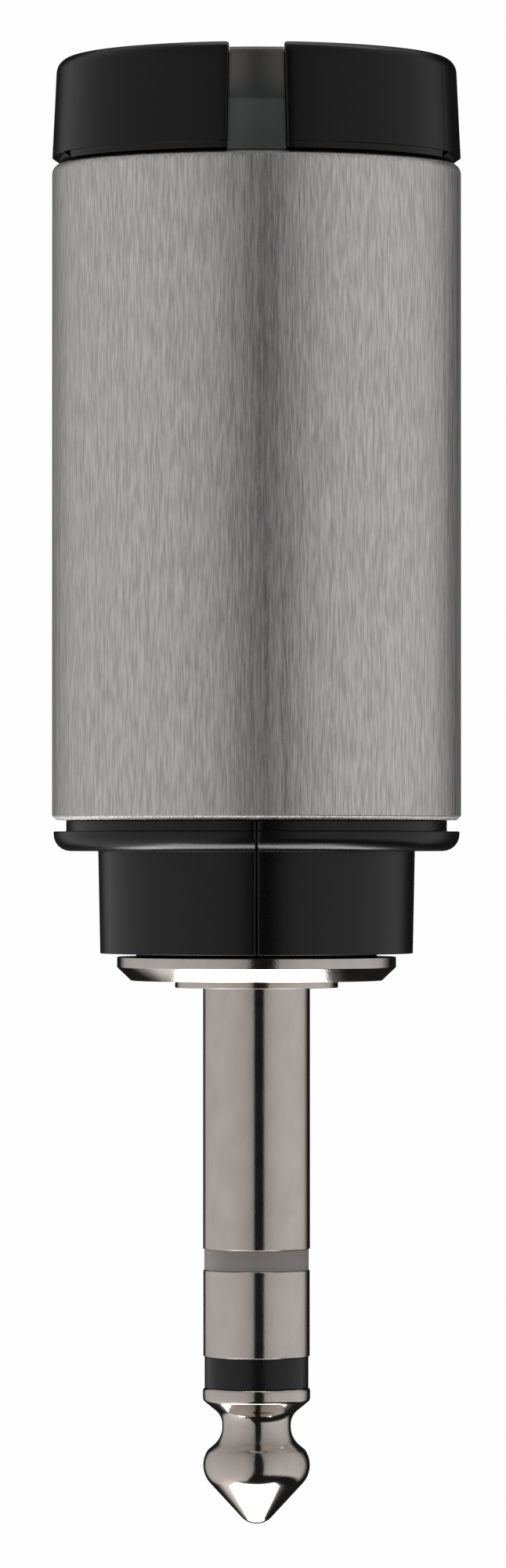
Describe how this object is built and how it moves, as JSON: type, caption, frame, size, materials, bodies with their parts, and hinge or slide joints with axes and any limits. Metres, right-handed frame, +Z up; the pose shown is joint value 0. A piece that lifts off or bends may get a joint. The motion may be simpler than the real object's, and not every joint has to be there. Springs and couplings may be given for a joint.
{
  "type": "plug-in wireless audio transmitter",
  "caption": "Slim wireless audio transmitter: a brushed metal barrel with a black cap and a smoked light strip, carried on a three-pole 6.35 mm phone plug.",
  "frame": {"origin": "on the plug's axis, at the plane where the plug's shoulder seats on a socket", "axes": "+Z up the plug's axis towards the cap, -Y the front (seam and light strip), +X to the right"},
  "size_m": [0.0242, 0.0242, 0.0871],
  "materials": {
    "barrel_metal": "hairline brushed along the barrel, satin",
    "plug_nickel": "bright nickel plate, slightly warm",
    "black_plastic": "satin moulded black",
    "smoked_plastic": "translucent smoked grey, smooth",
    "grey_insulator": "turned grey plastic",
    "black_insulator": "turned black plastic, half gloss",
    "gasket_rubber": "matt black",
    "plain_steel": "zinc-plated steel",
    "lug_brass": "stamped, tinned at the joint",
    "circuit_board": "green solder mask",
    "chip_plastic": "moulded package",
    "carrier_plastic": "moulded dark grey",
    "cell_wrap": "heat-shrink film",
    "foam": "closed-cell foam",
    "wire_red": "insulated wire",
    "wire_black": "insulated wire",
    "wire_white": "insulated wire and connector body",
    "lamp_white": "LED package",
    "flex_film": "amber film"
  },
  "bodies": {
    "root": {"metal_shell": "barrel_metal", "top_cap": "black_plastic", "light_pipe": "smoked_plastic", "housing_left": "black_plastic", "housing_right": "black_plastic", "neck_gasket": "gasket_rubber", "seat_washer": "plug_nickel", "plug_sleeve": "plug_nickel", "ring_insulator": "grey_insulator", "plug_ring": "plug_nickel", "tip_insulator": "black_insulator", "plug_tip": "plug_nickel", "plug_nut": "plug_nickel", "lock_washer": "plain_steel", "sleeve_lug": "lug_brass", "ring_lug": "lug_brass", "tip_lug": "lug_brass", "tip_wire": "wire_white", "ring_wire": "wire_red", "sleeve_wire": "wire_black", "housing_screw_front": "plain_steel", "housing_screw_rear": "plain_steel", "carrier_frame": "carrier_plastic", "main_board": "circuit_board", "radio_shield_can": "plain_steel", "radio_chip": "chip_plastic", "processor_chip": "chip_plastic", "crystal_can": "plain_steel", "audio_converter_chip": "chip_plastic", "charger_chip": "chip_plastic", "cell_connector": "wire_white", "battery_cell": "cell_wrap", "cell_pad_lower": "foam", "cell_pad_upper": "foam", "cell_wire_positive": "wire_red", "cell_wire_negative": "wire_black", "led_board": "circuit_board", "status_led": "lamp_white", "antenna": "lug_brass", "board_link_cable": "flex_film"}
  },
  "joints": []
}
